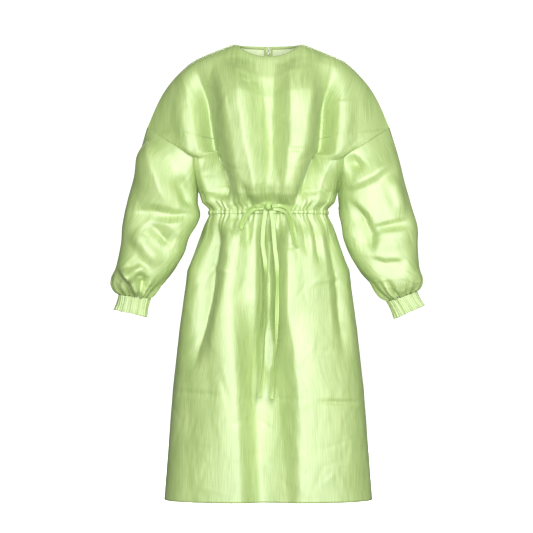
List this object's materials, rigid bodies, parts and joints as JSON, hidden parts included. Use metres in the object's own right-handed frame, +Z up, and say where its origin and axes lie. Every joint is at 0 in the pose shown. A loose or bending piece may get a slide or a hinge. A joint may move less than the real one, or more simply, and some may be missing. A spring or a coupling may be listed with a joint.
{
  "type": "patient gown",
  "caption": "Long-sleeved knee-length gown with a drawstring waist tied in a bow, gathered elastic cuffs, a round neck and a short back zip.",
  "frame": {"origin": "middle of the shoulder line at the neck, where the wearer's shoulders or a hanger hold it up", "axes": "+Z up, -Y is the front, +X is to the right as seen from the front"},
  "size_m": [0.7804, 0.3168, 1.1435],
  "materials": {
    "gown_cloth": "lustrous light green woven cloth with a fine upright grain and soft creases",
    "tie_cloth": "narrow folded and stitched tie of the same cloth",
    "cloth_reverse": "paler, duller reverse of the cloth",
    "neck_binding": "matt bias binding, a little darker than the cloth",
    "elastic": "knitted white elastic",
    "zip_tape": "woven zip tape, dyed to match",
    "zip_coil": "moulded coil, dyed to match",
    "zip_metal": "satin nickel"
  },
  "bodies": {
    "gown_body": {"front_bodice": "gown_cloth", "front_skirt": "gown_cloth", "back_bodice_left": "gown_cloth", "back_bodice_right": "gown_cloth", "back_skirt_left": "gown_cloth", "back_skirt_right": "gown_cloth", "waist_casing": "gown_cloth", "drawstring": "tie_cloth", "tie_knot": "tie_cloth", "bow_loop_left": "tie_cloth", "bow_loop_right": "tie_cloth", "tie_tail_left": "tie_cloth", "tie_tail_right": "tie_cloth", "hem_turn_up_front": "cloth_reverse", "hem_turn_up_back_left": "cloth_reverse", "hem_turn_up_back_right": "cloth_reverse", "neck_facing_front": "cloth_reverse", "neck_binding_back_left": "neck_binding", "neck_binding_back_right": "neck_binding", "zip_tape_left": "zip_tape", "zip_tape_right": "zip_tape", "zip_coil_left": "zip_coil", "zip_coil_right": "zip_coil", "zip_top_stop_left": "zip_metal", "zip_top_stop_right": "zip_metal", "zip_bottom_stop": "zip_metal", "neck_hook": "zip_metal", "neck_eye": "zip_metal"},
    "zip_slider": {"zip_slider": "zip_metal"},
    "zip_pull": {"zip_pull": "zip_metal"},
    "sleeve_left": {"sleeve_left": "gown_cloth", "cuff_left": "gown_cloth", "cuff_elastic_left": "elastic"},
    "sleeve_right": {"sleeve_right": "gown_cloth", "cuff_right": "gown_cloth", "cuff_elastic_right": "elastic"}
  },
  "joints": [
    {"name": "zip_slide", "type": "slide", "parent": "gown_body", "child": "zip_slider", "axis": [0, 0.1835, -0.983], "range_m": [0, 0.195]},
    {"name": "zip_pull_flip", "type": "hinge", "parent": "zip_slider", "child": "zip_pull", "pos_m": [0, 0.07016, -0.02294], "axis": [1, 0, 0], "range_deg": [0, 165]},
    {"name": "sleeve_left_lift", "type": "hinge", "parent": "gown_body", "child": "sleeve_left", "pos_m": [-0.239, 0, -0.292], "axis": [0, 1, 0], "range_deg": [0, 45]},
    {"name": "sleeve_right_lift", "type": "hinge", "parent": "gown_body", "child": "sleeve_right", "pos_m": [0.239, 0, -0.292], "axis": [0, -1, 0], "range_deg": [0, 45]}
  ]
}
